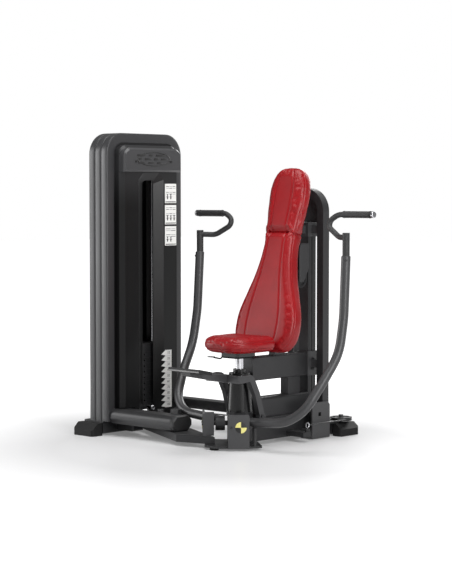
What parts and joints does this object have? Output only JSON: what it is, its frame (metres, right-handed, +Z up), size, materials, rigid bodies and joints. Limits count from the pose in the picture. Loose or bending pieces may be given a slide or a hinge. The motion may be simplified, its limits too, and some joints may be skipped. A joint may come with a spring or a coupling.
{
  "type": "shoulder press machine",
  "caption": "Selectorised seated press: weight tower, low frame, reclined red pads on a height-set seat, twin swinging press arms and a foot pedal.",
  "frame": {"origin": "on the floor, on the seat post's axis, at the underside of the centre levelling foot", "axes": "+Z up, the user sits facing -Y, the weight tower stands at -X on the user's right"},
  "size_m": [1.4964, 1.1241, 1.54],
  "materials": {
    "frame_paint": "satin",
    "bracket_paint": "satin",
    "handle_paint": "satin",
    "shroud_black": "gloss",
    "cap_grey": "satin",
    "end_cap_black": "matt",
    "rubber_black": "matt",
    "tread_rubber": "matt",
    "grip_rubber": "matt",
    "pulley_nylon": "satin",
    "plate_steel": "satin",
    "chrome": "polished",
    "bronze": "satin",
    "cable_jacket": "gloss",
    "label_white": "matt",
    "marker_yellow": "satin",
    "column_black": "satin",
    "lever_black": "satin",
    "upholstery_red": "satin"
  },
  "bodies": {
    "frame": {"arm_stops": "rubber_black", "back_arch": "frame_paint", "back_pad": "upholstery_red", "base_beam": "frame_paint", "base_plate": "frame_paint", "cross_tube": "frame_paint", "cross_tube_cap": "end_cap_black", "guide_rods": "chrome", "head_pad": "upholstery_red", "levelling_feet": "rubber_black", "oblique_beam": "frame_paint", "pad_mounts": "bracket_paint", "pivot_brackets": "bracket_paint", "pivot_housing": "frame_paint", "pivot_markers": "marker_yellow", "pulley_brackets": "bracket_paint", "rear_cross_beam": "frame_paint", "rubber_boots": "rubber_black", "seat_back_beam": "frame_paint", "seat_column": "column_black", "side_plates": "bracket_paint", "spine_beam": "frame_paint", "stack_bumpers": "rubber_black", "station_cables": "cable_jacket", "tower_arch": "frame_paint", "tower_base_beam": "frame_paint", "tower_cable": "cable_jacket", "tower_cap": "cap_grey", "tower_front_shroud": "shroud_black", "tower_labels": "label_white", "tower_rear_cover": "shroud_black", "tower_top_beam": "frame_paint", "upright_sleeves": "bracket_paint", "uprights": "frame_paint"},
    "weight_stack": {"weight_plates": "plate_steel", "top_plate": "plate_steel", "selector_stem": "chrome", "stack_cable": "cable_jacket"},
    "selector_pin": {"selector_pin": "chrome"},
    "left_arm": {"left_arm_tube": "frame_paint", "left_bushing": "bronze", "left_handle": "handle_paint", "left_grip": "grip_rubber", "left_end_cap": "chrome"},
    "right_arm": {"right_arm_tube": "frame_paint", "right_bushing": "bronze", "right_handle": "handle_paint", "right_grip": "grip_rubber", "right_end_cap": "chrome"},
    "top_pulley_inner": {"top_pulley_inner": "pulley_nylon"},
    "top_pulley_outer": {"top_pulley_outer": "pulley_nylon"},
    "low_pulley": {"low_pulley": "pulley_nylon"},
    "back_pulley": {"back_pulley": "pulley_nylon"},
    "rear_pulley": {"rear_pulley": "pulley_nylon"},
    "seat": {"seat_post": "chrome", "seat_carriage": "column_black", "seat_pad": "upholstery_red"},
    "seat_lever": {"seat_lever": "lever_black"},
    "pedal": {"pedal_arm": "frame_paint", "pedal_tread": "tread_rubber"}
  },
  "joints": [
    {"name": "stack_lift", "type": "slide", "parent": "frame", "child": "weight_stack", "axis": [0, 0, 1], "range_m": [0, 0.35], "deforming": ["stack_cable"]},
    {"name": "selector_pull", "type": "slide", "parent": "weight_stack", "child": "selector_pin", "axis": [1, 0, 0], "range_m": [0, 0.09]},
    {"name": "left_arm_press", "type": "hinge", "parent": "frame", "child": "left_arm", "pos_m": [0, 0, 0.114], "axis": [0.7071, -0.7071, 0], "range_deg": [0, 20]},
    {"name": "right_arm_press", "type": "hinge", "parent": "frame", "child": "right_arm", "pos_m": [0, 0, 0.114], "axis": [0.7071, 0.7071, 0], "range_deg": [0, 20]},
    {"name": "top_pulley_inner_spin", "type": "hinge", "parent": "frame", "child": "top_pulley_inner", "pos_m": [-0.7935, 0.1055, 1.425], "axis": [1, 0, 0], "range_deg": [-500, 0]},
    {"name": "top_pulley_outer_spin", "type": "hinge", "parent": "frame", "child": "top_pulley_outer", "pos_m": [-0.7935, 0.2085, 1.425], "axis": [1, 0, 0], "range_deg": [-500, 0]},
    {"name": "low_pulley_spin", "type": "hinge", "parent": "frame", "child": "low_pulley", "pos_m": [-0.752, 0.25, 0.142], "axis": [0, 1, 0], "range_deg": [-500, 0]},
    {"name": "back_pulley_spin", "type": "hinge", "parent": "frame", "child": "back_pulley", "pos_m": [0.022, 0.42, 0.806], "axis": [1, 0, 0], "range_deg": [-460, 0]},
    {"name": "rear_pulley_spin", "type": "hinge", "parent": "frame", "child": "rear_pulley", "pos_m": [0.1, 0.655, 0.084], "axis": [0, 0, 1], "range_deg": [0, 400]},
    {"name": "seat_height", "type": "slide", "parent": "frame", "child": "seat", "axis": [0, 0, 1], "range_m": [0, 0.1]},
    {"name": "seat_lever_lift", "type": "hinge", "parent": "seat", "child": "seat_lever", "pos_m": [-0.072, -0.03, 0.451], "axis": [0, 1, 0], "range_deg": [0, 12], "stiffness_Nm_per_rad": 1.5, "springref_deg": -11.46},
    {"name": "pedal_press", "type": "hinge", "parent": "frame", "child": "pedal", "pos_m": [0, 0.045, 0.15], "axis": [1, 0, 0], "range_deg": [0, 15], "stiffness_Nm_per_rad": 120, "springref_deg": -20.05}
  ],
  "couplings": [
    {"joint": "left_arm_press", "follows": "stack_lift", "rad_per_m": 0.997},
    {"joint": "right_arm_press", "follows": "stack_lift", "rad_per_m": 0.997},
    {"joint": "top_pulley_inner_spin", "follows": "stack_lift", "rad_per_m": -24.096},
    {"joint": "top_pulley_outer_spin", "follows": "stack_lift", "rad_per_m": -24.096},
    {"joint": "low_pulley_spin", "follows": "stack_lift", "rad_per_m": -24.096},
    {"joint": "back_pulley_spin", "follows": "stack_lift", "rad_per_m": -22.472},
    {"joint": "rear_pulley_spin", "follows": "stack_lift", "rad_per_m": 19.048}
  ]
}
